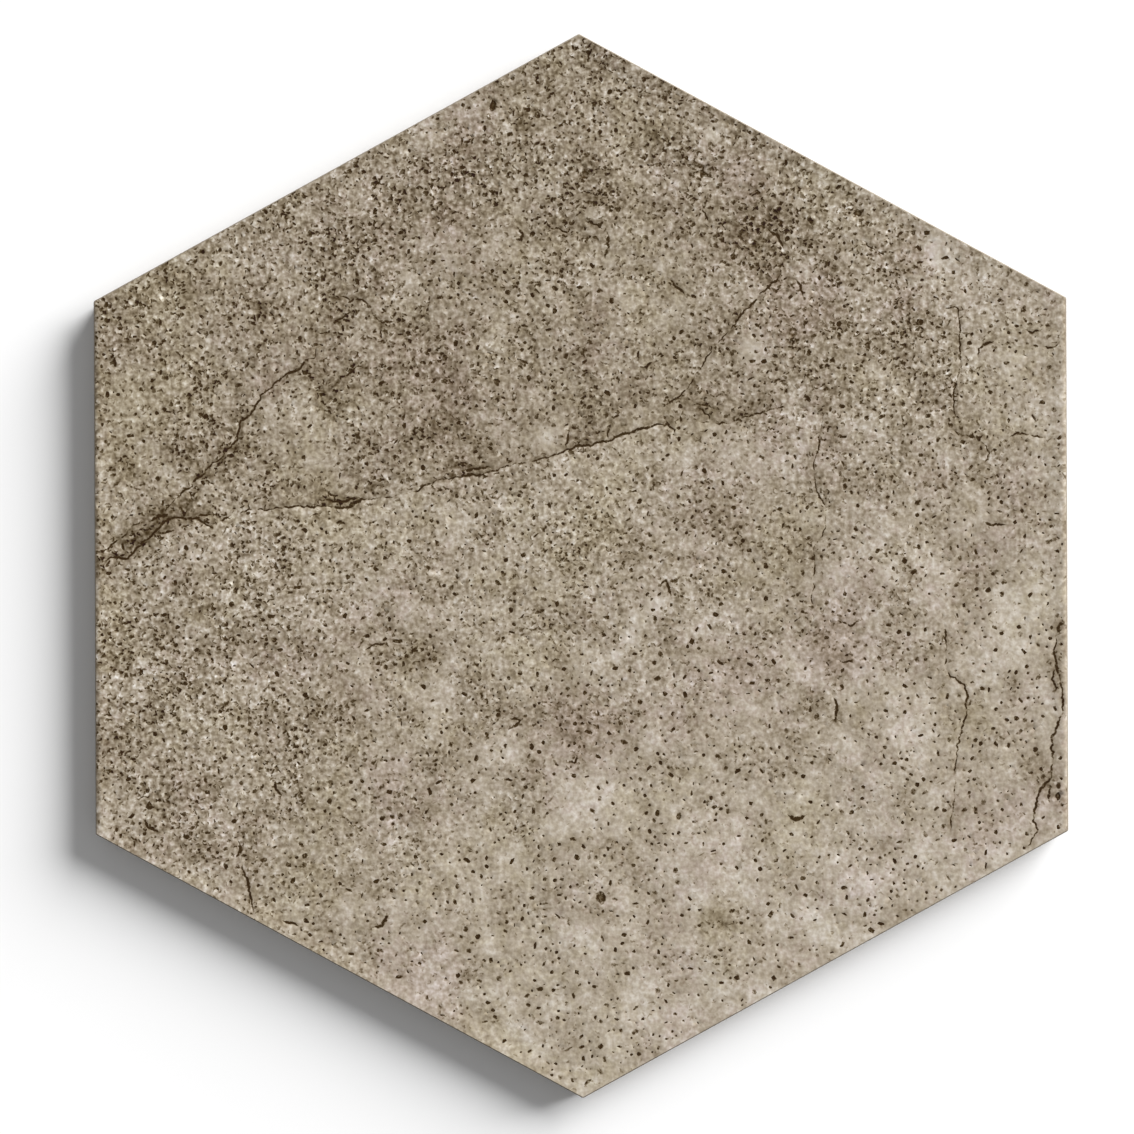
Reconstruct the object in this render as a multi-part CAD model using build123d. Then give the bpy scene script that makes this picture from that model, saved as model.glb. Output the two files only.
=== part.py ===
from build123d import *
import math
import os

# Hexagonal tile, lying on its back with its stone-look face up.
# The origin is the centre of the back. +Z points out of the face, and +Y points to a corner,
# so that two straight sides lie left and right and four slanted sides meet at the +Y and -Y corners.
# All sizes are in millimetres and all angles in degrees.

# Outline of the face, which is a little shorter than a regular hexagon
across_flats = 260.0
point_to_point = 284.5
upright_side = 142.5
corner_radius = 0.8

# Thickness, and the bevels ground along the edges of the face and of the back
thickness = 9.0
face_bevel = 0.3
back_bevel = 0.8

# Keying pattern pressed into the back: columns of six-sided recesses with ribs between them,
# inside a plain border. The ribs and the border are what the tile lies on.
plain_border = 8.0
cell_pitch = 15.5
rib_width = 2.5
recess_depth = 0.8
recess_draft = 30.0

# The slanted side from the +Y corner to the upright side at +X
half_width = across_flats / 2
half_height = point_to_point / 2
half_upright = upright_side / 2
slant_drop = half_height - half_upright
slant_length = math.hypot(half_width, slant_drop)

# The recess, a regular hexagon with corners to its left and right. The cells of one column lie
# one pitch apart, the next column is set half a pitch along, and the columns are as far apart as
# makes the slanting lines of cells run level with the slanted sides.
cell_sides = 6
cell_apothem = (cell_pitch - rib_width) / 2
cell_radius = cell_apothem / math.cos(math.pi / cell_sides)
column_pitch = cell_pitch / 2 * half_width / slant_drop


def face_outline():
    """Six-sided outline of the tile with sharp corners."""
    return Polygon(
        (0, half_height),
        (-half_width, half_upright),
        (-half_width, -half_upright),
        (0, -half_height),
        (half_width, -half_upright),
        (half_width, half_upright),
        align=None,
    )


def bevelled_plate():
    """Plate with its face and back bevelled all round and its upright corners eased."""
    plate = extrude(face_outline(), thickness)
    plate = chamfer(plate.edges().group_by(Axis.Z)[-1], face_bevel)
    plate = chamfer(plate.edges().group_by(Axis.Z)[0], back_bevel)
    outline = face_outline()
    eased_outline = fillet(outline.vertices(), corner_radius)
    return plate & extrude(eased_outline, thickness)


def distance_to_side(x, y):
    """Distance from a point inside the outline to its nearest side."""
    to_upright = half_width - abs(x)
    to_slant = (half_width * (half_height - abs(y)) - slant_drop * abs(x)) / slant_length
    return min(to_upright, to_slant)


def recess_places():
    """Centres of the recesses that fit whole inside the plain border.

    The middle column is set half a pitch along, so that a rib runs through the origin.
    """
    columns = math.ceil(half_width / column_pitch)
    cells = math.ceil(half_height / cell_pitch)
    places = []
    for column in range(-columns, columns + 1):
        shift = cell_pitch / 2 if column % 2 == 0 else 0.0
        for cell in range(-cells - 1, cells + 1):
            x = column * column_pitch
            y = cell * cell_pitch + shift
            if distance_to_side(x, y) >= plain_border + cell_radius:
                places.append(Location((x, y, 0)))
    return places


def recess():
    """One recess, wider at its mouth than at its floor, to be cut from the back."""
    mouth = RegularPolygon(cell_radius, cell_sides)
    return extrude(mouth, recess_depth, taper=recess_draft)


def tile():
    """The whole tile, one solid."""
    cutter = recess()
    return bevelled_plate() - [place * cutter for place in recess_places()]


os.makedirs("parts", exist_ok=True)
export_step(tile(), "parts/tile.step")
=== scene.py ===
import math
import random

import bmesh
import bpy
import numpy as np
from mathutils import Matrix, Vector, noise
from mathutils.geometry import delaunay_2d_cdt
from mathutils.kdtree import KDTree


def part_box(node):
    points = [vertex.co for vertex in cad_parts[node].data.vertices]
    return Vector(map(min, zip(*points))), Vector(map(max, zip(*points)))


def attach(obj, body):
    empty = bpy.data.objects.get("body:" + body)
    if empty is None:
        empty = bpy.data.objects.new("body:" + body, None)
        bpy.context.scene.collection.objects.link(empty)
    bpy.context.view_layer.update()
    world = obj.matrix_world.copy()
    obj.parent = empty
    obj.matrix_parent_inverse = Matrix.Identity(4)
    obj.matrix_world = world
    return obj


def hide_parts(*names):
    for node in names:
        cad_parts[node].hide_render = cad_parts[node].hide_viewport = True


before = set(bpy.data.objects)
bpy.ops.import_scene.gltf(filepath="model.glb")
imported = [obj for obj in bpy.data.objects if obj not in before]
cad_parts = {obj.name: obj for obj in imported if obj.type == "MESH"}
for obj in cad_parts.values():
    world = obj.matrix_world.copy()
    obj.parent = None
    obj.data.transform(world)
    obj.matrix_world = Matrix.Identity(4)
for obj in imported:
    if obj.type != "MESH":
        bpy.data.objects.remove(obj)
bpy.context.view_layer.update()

bl_info = {
    "name": "Stone-look hexagonal tile",
    "version": (1, 0, 0),
    "blender": (4, 5, 0),
    "location": "3D View > Sidebar > Tile",
    "description": "Lays the pitted stone face on the fired tile, with its floor, light and camera",
    "category": "Object",
}

# The tile's own box straight after loading, in metres
TILE_LOW, TILE_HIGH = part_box("tile")
TILE_WIDTH = TILE_HIGH.x - TILE_LOW.x
FACE_HEIGHT = TILE_HIGH.z

MM = 0.001

# How the tile lies in the photograph, in its pixels
PHOTO_SIDE_PX = 1134
TILE_WIDTH_PX = 973
TILE_CENTRE_PX = (581, 566)
TILE_TURN_DEG = 0.22
PIXEL = TILE_WIDTH / TILE_WIDTH_PX

# Routes of the cracks in the photograph's pixels
MAIN_CRACK_PX = [
    (104, 562), (112, 557), (127, 559), (131, 553), (140, 545), (149, 538), (158, 529), (166, 520),
    (174, 517), (182, 519), (192, 518), (199, 520), (210, 526), (228, 516), (240, 512), (255, 509),
    (267, 510), (285, 507), (306, 507), (328, 506), (342, 509), (352, 505), (358, 501), (366, 499),
    (380, 498), (396, 496), (408, 493), (418, 490), (426, 485), (438, 480), (450, 478), (466, 475),
    (482, 475), (490, 472), (502, 468), (514, 464), (528, 463), (536, 460), (546, 458), (560, 453),
    (568, 450), (576, 446), (590, 445), (598, 443), (608, 441), (614, 439), (619, 435), (630, 432),
    (636, 430), (644, 428), (650, 427), (662, 424),
]
MAIN_CRACK_END_PX = [
    (690, 420), (696, 422), (710, 422), (720, 424), (732, 422), (745, 417), (762, 412), (770, 409),
    (782, 407), (792, 406), (806, 408),
]
DIAGONAL_CRACK_PX = [
    (167, 508), (172, 502), (182, 493), (190, 487), (202, 475), (209, 467), (214, 462), (224, 455),
    (229, 448), (237, 439), (239, 425), (240, 421), (247, 418), (252, 413), (257, 404), (263, 393),
    (270, 388), (277, 381), (283, 377), (289, 373), (299, 369), (304, 363), (308, 359), (314, 357),
    (317, 349),
]
MIDDLE_UPRIGHT_CRACK_PX = [
    (824, 413), (821, 430), (819, 438), (818, 450), (814, 462), (816, 489), (825, 505), (826, 525),
    (822, 537), (817, 541), (814, 549), (815, 565), (814, 580), (812, 600), (814, 619),
]
UPPER_SLANT_CRACK_PX = [
    (660, 413), (672, 400), (680, 396), (688, 388), (694, 378), (707, 358), (722, 338), (730, 330),
    (734, 325), (740, 316), (746, 310), (751, 304), (757, 299), (761, 293), (767, 289), (772, 283),
    (777, 279), (782, 274),
]
UPPER_RIGHT_CRACK_PX = [
    (947, 309), (955, 307), (959, 310), (960, 330), (959, 340), (961, 362), (958, 378), (953, 395),
    (954, 410), (955, 418),
]
LOWER_RIGHT_CRACK_PX = [
    (945, 626), (946, 648), (946, 658), (944, 667), (951, 675), (958, 680), (964, 686), (967, 696),
    (966, 714), (964, 724), (960, 734), (958, 746), (957, 758), (955, 772), (955, 784), (953, 808),
    (950, 830),
]
EDGE_CRACK_PX = [
    (1061, 634), (1057, 636), (1056, 644), (1054, 652), (1056, 662), (1058, 670), (1061, 680),
    (1062, 692), (1064, 706), (1063, 714), (1058, 722), (1056, 732), (1052, 738), (1053, 754),
    (1051, 777), (1046, 784), (1040, 791), (1037, 796), (1035, 812), (1033, 820), (1039, 830),
    (1034, 838), (1029, 846),
]

# All cracks and crooked strokes: route, width in millimetres, and strength
CRACKS = [
    (MAIN_CRACK_PX[:13], 0.9, 1.0), (MAIN_CRACK_PX[12:20], 0.7, 0.7), (MAIN_CRACK_PX[19:24], 0.9, 0.9),
    (MAIN_CRACK_PX[23:31], 0.7, 0.6), (MAIN_CRACK_PX[30:35], 0.9, 0.9), (MAIN_CRACK_PX[34:39], 0.7, 0.6),
    (MAIN_CRACK_PX[38:], 0.9, 1.0), (DIAGONAL_CRACK_PX, 0.8, 0.9), (MAIN_CRACK_END_PX, 0.7, 0.5),
    (MIDDLE_UPRIGHT_CRACK_PX, 0.6, 0.52), (UPPER_SLANT_CRACK_PX[:8], 0.6, 0.6),
    (UPPER_SLANT_CRACK_PX[7:], 0.7, 0.8), (UPPER_RIGHT_CRACK_PX[:6], 0.7, 0.75),
    (UPPER_RIGHT_CRACK_PX[5:], 0.6, 0.35), (LOWER_RIGHT_CRACK_PX[:4], 0.6, 0.5),
    (LOWER_RIGHT_CRACK_PX[3:13], 0.8, 0.8), (LOWER_RIGHT_CRACK_PX[12:], 0.7, 0.55),
    (EDGE_CRACK_PX, 0.9, 0.8), ([(102, 553), (114, 543), (125, 535), (132, 527), (140, 523)], 0.6, 0.6),
    ([(150, 521), (158, 517), (166, 515), (172, 523)], 1.0, 0.9),
    ([(150, 530), (160, 533), (172, 531)], 0.9, 0.8), ([(195, 515), (209, 515)], 0.9, 0.9),
    ([(189, 490), (192, 500)], 0.6, 0.7), ([(318, 500), (330, 500), (344, 502), (356, 497)], 0.9, 0.8),
    ([(326, 491), (334, 496)], 0.8, 0.7), ([(312, 515), (322, 513)], 0.9, 0.7),
    ([(460, 471), (474, 470), (490, 467)], 0.9, 0.8), ([(568, 433), (567, 449)], 0.8, 0.9),
    ([(577, 452), (590, 452)], 0.7, 0.8), ([(608, 428), (609, 440)], 0.8, 0.8),
    ([(690, 408), (694, 405), (699, 404), (708, 406), (714, 409)], 0.7, 0.7),
    ([(699, 408), (708, 415), (710, 421)], 0.6, 0.6), ([(668, 423), (673, 430)], 0.9, 0.9),
    ([(298, 360), (303, 368), (304, 373), (315, 373)], 0.7, 0.8),
    ([(320, 333), (328, 333), (332, 329), (334, 323), (343, 317), (351, 312), (352, 299)], 0.8, 0.7),
    ([(334, 299), (341, 297), (359, 300), (366, 302), (371, 307)], 0.8, 0.7),
    ([(371, 312), (378, 320)], 0.8, 0.6), ([(345, 376), (357, 367), (362, 366)], 0.7, 0.7),
    ([(381, 321), (391, 322)], 1.0, 0.9), ([(955, 432), (962, 435), (975, 437)], 0.8, 0.6),
    ([(981, 441), (987, 446), (990, 454), (985, 462)], 0.8, 0.6),
    ([(1011, 435), (1021, 433), (1044, 438)], 0.8, 0.8),
    ([(978, 357), (979, 348), (984, 344), (992, 342)], 0.9, 0.8),
    ([(1046, 346), (1053, 348), (1058, 344)], 0.8, 0.7),
    ([(1026, 330), (1033, 332), (1043, 330)], 0.7, 0.6), ([(1012, 398), (1018, 406)], 0.8, 0.7),
    ([(1064, 622), (1059, 626), (1058, 631)], 0.9, 0.9),
    ([(1055, 670), (1052, 680), (1057, 688)], 0.9, 0.8), ([(1050, 788), (1049, 802)], 0.9, 0.8),
    ([(966, 714), (969, 708), (971, 700)], 0.7, 0.6), ([(366, 649), (375, 643), (384, 644)], 0.7, 0.7),
    ([(275, 781), (276, 790), (282, 795)], 1.0, 0.9), ([(662, 585), (666, 581), (671, 594)], 1.1, 0.9),
    ([(512, 719), (520, 720), (517, 725), (511, 728)], 1.1, 1.0),
    ([(569, 762), (574, 763), (577, 758)], 0.9, 0.9), ([(985, 522), (990, 525), (1004, 524)], 1.0, 0.9),
    ([(843, 622), (850, 626), (856, 621)], 0.8, 0.8), ([(839, 660), (844, 662), (850, 660)], 0.7, 0.7),
    ([(834, 697), (837, 707), (836, 720)], 0.9, 0.8), ([(146, 822), (148, 828), (158, 832)], 1.2, 1.0),
    ([(239, 844), (241, 850), (239, 856)], 1.2, 1.0),
    ([(242, 867), (245, 877), (249, 890), (251, 900), (253, 910)], 1.0, 0.9),
    ([(375, 927), (382, 925), (387, 917)], 1.2, 1.0), ([(284, 921), (291, 922), (298, 925)], 1.0, 0.9),
    ([(519, 229), (523, 234), (522, 241)], 1.0, 0.9), ([(550, 230), (558, 229), (566, 232)], 0.9, 0.8),
    ([(587, 223), (596, 224), (601, 227)], 0.9, 0.9), ([(609, 236), (608, 245), (605, 256)], 1.1, 0.9),
    ([(703, 205), (704, 213), (708, 218)], 1.0, 0.8), ([(671, 280), (676, 287), (684, 292)], 0.8, 0.8),
    ([(768, 229), (776, 235), (780, 240), (784, 247)], 0.9, 0.9),
    ([(796, 280), (800, 285), (803, 295)], 1.0, 0.9), ([(866, 242), (869, 247), (874, 249)], 0.6, 0.8),
    ([(790, 816), (796, 819), (804, 816)], 1.2, 1.0), ([(646, 366), (652, 362), (658, 360)], 0.9, 0.8),
]

# Short straight strokes: their two ends in the photograph's pixels, and width in millimetres
STROKES = [
    (134, 615, 139, 626, 0.9), (256, 590, 261, 599, 0.8), (405, 692, 396, 702, 0.9),
    (364, 713, 370, 708, 0.9), (138, 700, 135, 707, 0.8), (308, 721, 304, 731, 1.0),
    (352, 712, 356, 725, 0.8), (601, 619, 612, 617, 1.1), (530, 582, 541, 596, 0.8),
    (594, 582, 601, 590, 0.7), (450, 591, 460, 597, 0.8), (642, 637, 649, 634, 0.9),
    (467, 740, 474, 748, 0.9), (469, 784, 476, 777, 1.2), (426, 716, 432, 721, 0.9),
    (667, 734, 679, 725, 1.0), (606, 730, 612, 737, 1.1), (694, 713, 694, 721, 0.7),
    (707, 509, 714, 515, 1.0), (1011, 525, 1019, 520, 1.0), (991, 549, 1000, 553, 1.0),
    (829, 610, 837, 614, 0.7), (769, 721, 770, 731, 0.7), (225, 862, 227, 870, 1.2),
    (229, 885, 233, 879, 1.0), (287, 806, 294, 814, 0.9), (396, 835, 404, 841, 0.8),
    (723, 478, 723, 489, 0.9), (536, 78, 539, 86, 0.9), (540, 146, 550, 150, 0.8),
    (451, 147, 457, 155, 0.8), (516, 182, 517, 198, 1.0), (493, 187, 493, 198, 1.0),
    (650, 199, 658, 207, 0.9), (853, 198, 859, 203, 1.0), (872, 212, 876, 207, 1.0),
    (777, 202, 785, 205, 1.2), (750, 172, 755, 177, 1.0), (800, 268, 802, 276, 0.8),
    (954, 267, 953, 277, 0.9), (789, 830, 793, 837, 1.0), (743, 820, 750, 816, 0.9),
    (747, 803, 755, 804, 1.1), (696, 911, 704, 909, 0.8), (771, 974, 776, 982, 1.2),
    (749, 939, 750, 946, 1.1), (774, 945, 781, 945, 0.9), (631, 955, 637, 949, 1.0),
    (559, 841, 560, 848, 1.1), (577, 968, 577, 976, 1.3), (534, 804, 533, 818, 0.9),
    (802, 893, 808, 897, 1.0), (648, 803, 652, 808, 0.8), (652, 865, 657, 871, 0.7),
    (433, 376, 437, 385, 1.0), (527, 375, 532, 383, 1.3), (478, 358, 478, 370, 0.7),
    (534, 358, 541, 356, 0.8), (470, 327, 477, 328, 0.9), (580, 398, 583, 406, 0.8),
    (328, 259, 333, 257, 1.0), (382, 284, 383, 292, 0.9), (363, 284, 368, 290, 0.9),
    (366, 221, 373, 226, 0.9), (117, 325, 122, 332, 1.0),
]

# Brown smudges: place, half length and half width in the photograph's pixels, direction in degrees,
# and strength
SMUDGES = [
    (160, 523, 15, 9, 20, 1.0), (136, 538, 26, 9, 42, 0.8), (101, 566, 7, 5, 60, 1.0),
    (202, 518, 9, 5, -20, 0.7), (340, 500, 20, 7, 5, 0.8), (478, 471, 20, 7, 10, 0.7),
    (572, 444, 20, 7, 20, 0.8), (596, 438, 16, 7, 10, 0.5), (660, 413, 12, 10, 0, 0.5),
    (225, 452, 14, 7, 45, 0.5), (246, 412, 12, 8, 30, 0.6), (345, 306, 14, 10, 20, 0.5),
    (350, 352, 8, 8, 0, 0.6), (700, 412, 16, 9, 0, 0.4), (822, 407, 9, 9, 0, 0.7),
    (953, 386, 9, 9, 0, 0.4), (980, 440, 16, 10, -20, 0.5), (962, 339, 5, 4, 0, 0.8),
    (953, 309, 8, 5, 0, 0.6), (987, 344, 7, 4, 10, 0.8), (937, 321, 6, 4, 0, 0.8),
    (960, 673, 12, 10, -40, 0.4), (972, 714, 9, 14, 0, 0.4), (967, 718, 5, 9, 0, 0.6),
    (1057, 676, 6, 16, 0, 0.7), (1060, 628, 6, 7, 0, 0.8), (1042, 785, 11, 8, 30, 0.7),
    (1053, 748, 4, 8, 0, 0.5), (953, 800, 34, 4, 88, 0.5), (958, 712, 20, 4, 80, 0.5),
    (815, 575, 34, 4, 90, 0.5), (245, 880, 6, 24, 15, 0.4), (512, 590, 12, 12, 0, 0.3),
    (417, 655, 20, 20, 0, 0.3), (490, 647, 12, 12, 0, 0.3), (485, 710, 14, 14, 0, 0.3),
    (560, 738, 24, 16, -10, 0.4), (625, 720, 16, 16, 0, 0.3), (962, 600, 14, 14, 0, 0.3),
    (822, 697, 10, 10, 0, 0.3), (360, 827, 14, 14, 0, 0.3), (592, 233, 11, 9, 0, 0.5),
    (780, 212, 13, 12, 0, 0.5), (685, 226, 10, 8, 0, 0.4), (460, 328, 20, 12, 0, 0.4),
    (650, 366, 11, 8, 0, 0.5), (550, 905, 18, 18, 0, 0.3), (715, 917, 16, 10, -30, 0.6),
    (560, 230, 14, 7, 0, 0.5), (740, 215, 22, 14, 0, 0.4), (858, 290, 22, 12, 0, 0.3),
]

# Large pits: place in the photograph's pixels, length and width in millimetres, direction in
# degrees, and how deep and dark they are
LARGE_PITS = [
    ((601, 897), 3.6, 3.4, 0, 0.8), ((585, 174), 3.4, 2.6, 70, 0.7), ((493, 105), 3.2, 1.8, 80, 0.9),
    ((702, 172), 4.6, 1.3, 80, 0.8), ((1058, 796), 2.2, 1.5, 80, 1.0), ((559, 706), 3.0, 2.5, 60, 0.5),
    ((793, 332), 3.4, 2.8, 40, 0.6), ((722, 926), 3.6, 2.4, -10, 0.4), ((858, 213), 2.7, 1.9, -10, 0.9),
    ((679, 816), 2.6, 1.9, 80, 0.6), ((620, 882), 2.1, 1.4, 80, 0.5),
]

# Smaller pits that stand out: place, length, width and direction, as above
CLEAR_PITS = [
    ((635, 406), 1.9, 0.9, 75), ((679, 439), 1.9, 0.9, 70), ((668, 455), 2.0, 0.9, 30),
    ((310, 426), 2.2, 0.9, 35), ((409, 541), 1.8, 1.2, 0), ((737, 978), 1.9, 1.3, 0),
    ((232, 604), 2.1, 1.6, 0), ((155, 615), 1.9, 0.8, -35), ((197, 650), 2.1, 1.1, 20),
    ((185, 644), 1.3, 0.9, -30), ((279, 632), 2.1, 0.8, 30), ((280, 650), 2.6, 1.1, 10),
    ((255, 642), 1.6, 1.0, 10), ((277, 674), 1.8, 1.3, -60), ((227, 657), 1.3, 1.2, 0),
    ((225, 727), 2.3, 1.5, -80), ((155, 734), 1.8, 1.6, 0), ((149, 806), 2.9, 1.9, 60),
    ((147, 791), 1.8, 1.0, -70), ((207, 792), 2.1, 1.3, 0), ((351, 782), 2.1, 1.1, -20),
    ((362, 781), 1.4, 1.1, -40), ((653, 610), 1.6, 1.1, 0), ((557, 604), 2.3, 1.2, -80),
    ((567, 615), 1.9, 0.9, 60), ((444, 586), 1.5, 1.0, 80), ((511, 610), 1.8, 1.3, -60),
    ((448, 620), 2.1, 0.8, -10), ((692, 641), 2.1, 1.5, 70), ((697, 629), 2.1, 0.8, 60),
    ((564, 669), 1.9, 1.1, 0), ((509, 678), 1.4, 1.3, 0), ((546, 658), 1.8, 0.8, -45),
    ((520, 674), 2.1, 0.7, -10), ((654, 663), 1.6, 1.5, 0), ((665, 694), 1.6, 1.2, -40),
    ((487, 734), 1.6, 1.5, -50), ((636, 749), 1.4, 1.3, 0), ((539, 752), 1.5, 1.3, 60),
    ((554, 774), 1.4, 1.1, 0), ((905, 561), 2.1, 1.5, -20), ((889, 625), 1.9, 1.1, 0),
    ((845, 594), 1.3, 1.2, -50), ((905, 712), 1.4, 1.2, 0), ((996, 709), 1.4, 1.1, -30),
    ((977, 589), 1.4, 1.0, 20), ((730, 545), 1.6, 1.0, 0), ((942, 574), 1.6, 0.8, 10),
    ((234, 821), 2.1, 1.5, -10), ((186, 837), 2.6, 1.6, -20), ((293, 880), 2.3, 1.2, 65),
    ((387, 879), 1.9, 0.8, 40), ((307, 905), 2.3, 0.8, 10), ((310, 935), 1.9, 1.0, -30),
    ((392, 817), 1.6, 1.0, -30), ((382, 819), 1.4, 1.1, 0), ((976, 552), 2.1, 0.9, -70),
    ((919, 547), 1.8, 1.0, -80), ((506, 560), 1.4, 1.3, 0), ((927, 233), 2.1, 1.3, 10),
    ((920, 322), 2.2, 1.9, 0), ((928, 313), 1.6, 0.9, 30), ((577, 857), 2.4, 1.6, -20),
    ((714, 807), 1.7, 1.3, 0), ((624, 935), 1.4, 1.1, 0), ((555, 880), 1.3, 1.2, 0),
    ((106, 304), 2.0, 1.2, 80), ((300, 338), 1.3, 1.2, 0), ((262, 332), 1.4, 1.2, 0),
    ((836, 258), 1.5, 1.1, -50), ((844, 243), 1.4, 0.9, 60), ((666, 239), 1.5, 0.9, 20),
    ((553, 990), 1.2, 1.1, 0), ((589, 983), 1.2, 0.9, 0), ((643, 1019), 1.3, 1.0, 0),
    ((532, 898), 1.5, 1.1, 0), ((463, 105), 1.5, 1.1, 80), ((572, 101), 1.2, 0.8, -40),
    ((768, 904), 1.6, 1.0, 40),
]

# Soft dark and pale stains of the print, and pale spots with a sharper rim: place and radius in the
# photograph's pixels, and grey levels out of 255
DARK_STAINS = [
    (490, 215, 16, 16), (460, 350, 22, 12), (335, 525, 16, 12), (665, 400, 14, 14), (720, 140, 20, 9),
    (790, 180, 20, 9), (740, 275, 14, 9), (855, 270, 18, 9), (930, 425, 10, 14), (1040, 590, 14, 10),
    (515, 650, 18, 10), (640, 680, 16, 9), (760, 735, 20, 9), (685, 810, 12, 12), (820, 850, 12, 14),
    (730, 880, 25, 10), (425, 945, 14, 12), (360, 970, 20, 9), (265, 910, 14, 12), (115, 400, 16, 9),
    (345, 350, 9, 10), (175, 380, 12, 9), (1030, 780, 14, 10), (610, 275, 14, 9), (165, 610, 18, 10),
    (1025, 780, 12, 6), (430, 820, 24, 7), (345, 640, 26, 6), (180, 516, 18, 20), (104, 560, 14, 24),
    (152, 527, 9, 20), (138, 537, 8, 14), (165, 518, 9, 16), (100, 573, 7, 24), (120, 548, 8, 10),
    (196, 508, 8, 10), (345, 285, 22, 12), (385, 245, 24, 14), (440, 198, 26, 14), (350, 370, 24, 10),
    (438, 360, 30, 11), (450, 435, 36, 12), (600, 440, 26, 11), (705, 402, 34, 12), (735, 212, 24, 18),
    (780, 240, 26, 18), (590, 180, 16, 12), (585, 205, 22, 9), (575, 365, 32, 10), (705, 335, 20, 9),
    (820, 395, 24, 12), (825, 340, 26, 9), (860, 295, 24, 8), (925, 320, 16, 8), (970, 430, 20, 9),
    (230, 435, 28, 12), (145, 300, 24, 9), (540, 60, 18, 10), (520, 110, 16, 9), (670, 90, 26, 10),
    (650, 140, 16, 8), (170, 592, 34, 9), (270, 640, 18, 8), (350, 700, 20, 8), (420, 655, 18, 7),
    (200, 690, 24, 8), (335, 820, 34, 9), (235, 860, 16, 11), (250, 905, 16, 10), (330, 940, 20, 7),
    (105, 735, 12, 12), (110, 650, 14, 8), (580, 725, 44, 9), (480, 715, 16, 6), (515, 800, 24, 7),
    (455, 790, 16, 6), (825, 700, 16, 10), (770, 745, 18, 7), (690, 800, 16, 6), (540, 900, 18, 6),
    (715, 920, 14, 12), (820, 850, 18, 6), (785, 555, 30, 7), (600, 540, 24, 6), (510, 590, 18, 6),
    (990, 540, 20, 8), (970, 725, 22, 9), (1050, 780, 14, 18), (1055, 665, 12, 14), (110, 750, 50, 11),
    (200, 800, 50, 11), (300, 760, 50, 6), (500, 1010, 40, 11), (430, 200, 40, 9), (700, 200, 60, 6),
    (700, 520, 60, 7), (780, 600, 50, 6), (950, 800, 14, 8), (205, 555, 30, 8), (130, 640, 22, 7),
    (840, 640, 20, 5), (455, 480, 26, 9),
]
PALE_STAINS = [
    (505, 90, 12, 16), (455, 280, 34, 11), (600, 310, 16, 11), (760, 395, 12, 16), (718, 428, 14, 11),
    (635, 395, 18, 8), (530, 430, 26, 7), (190, 540, 22, 12), (225, 460, 18, 10), (320, 470, 14, 9),
    (570, 680, 14, 16), (390, 620, 12, 12), (620, 750, 14, 11), (560, 850, 20, 9), (570, 1000, 26, 11),
    (600, 1060, 20, 10), (205, 640, 16, 9), (740, 190, 14, 9), (955, 545, 18, 8), (840, 250, 14, 9),
    (660, 120, 16, 7), (280, 420, 20, 7), (1035, 740, 14, 10), (585, 120, 30, 9), (730, 180, 12, 9),
    (710, 130, 12, 12), (450, 120, 34, 8), (450, 265, 32, 8), (675, 265, 34, 8), (750, 355, 18, 14),
    (945, 245, 16, 16), (1015, 380, 28, 9), (1040, 460, 16, 8), (140, 520, 40, 9), (150, 600, 30, 8),
    (130, 380, 18, 7), (240, 380, 18, 7), (310, 455, 24, 8), (690, 440, 34, 8), (445, 515, 30, 12),
    (190, 560, 26, 6), (385, 695, 20, 8), (390, 770, 18, 7), (480, 760, 16, 6), (600, 790, 30, 9),
    (650, 720, 16, 7), (1005, 635, 30, 14), (910, 740, 18, 9), (975, 660, 18, 9), (895, 715, 24, 7),
    (870, 875, 34, 12), (805, 930, 28, 10), (990, 835, 30, 9), (470, 905, 24, 7), (525, 1010, 22, 10),
    (600, 940, 18, 7), (830, 540, 14, 7), (750, 450, 20, 6), (700, 850, 40, 5), (640, 1020, 34, 6),
    (585, 800, 16, 8),
]
PALE_SPOTS = [
    (656, 604, 12, 28), (628, 639, 10, 28), (617, 655, 9, 26), (681, 680, 7, 24), (892, 574, 12, 30),
    (615, 697, 5, 26), (235, 855, 5, 26), (523, 99, 8, 26), (511, 132, 5, 36), (449, 196, 5, 40),
    (487, 197, 6, 34), (519, 211, 5, 26), (550, 193, 8, 24), (612, 77, 5, 30), (590, 213, 5, 24),
    (702, 188, 4, 40), (610, 260, 5, 34), (714, 132, 9, 34), (240, 322, 8, 32), (267, 293, 6, 24),
    (408, 280, 6, 28), (247, 353, 5, 30), (355, 335, 9, 16), (515, 318, 5, 34), (525, 371, 5, 24),
    (545, 438, 9, 20), (965, 290, 16, 8), (905, 285, 10, 14), (885, 235, 10, 12), (800, 203, 5, 24),
    (775, 190, 5, 34), (600, 645, 16, 8), (640, 620, 14, 12), (714, 186, 12, 8), (750, 350, 16, 20),
    (940, 252, 16, 14),
]

# Pink and olive stains: place and radius in the photograph's pixels, and strength from 0 to 1
PINK_STAINS = [
    (390, 600, 30, 1.0), (850, 640, 30, 1.0), (720, 690, 30, 0.9), (430, 970, 34, 0.9),
    (460, 120, 34, 0.7), (990, 835, 30, 0.7), (580, 725, 34, 0.7), (730, 180, 18, 0.6),
    (990, 540, 20, 0.6), (390, 770, 20, 0.6),
]
OLIVE_STAINS = [
    (340, 530, 34, 1.0), (130, 400, 30, 0.9), (150, 300, 26, 0.8), (335, 820, 34, 0.8),
    (785, 555, 30, 0.8), (600, 540, 24, 0.7), (970, 725, 24, 0.7), (715, 920, 16, 1.0),
    (505, 340, 26, 0.6), (125, 460, 20, 0.7),
]

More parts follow.
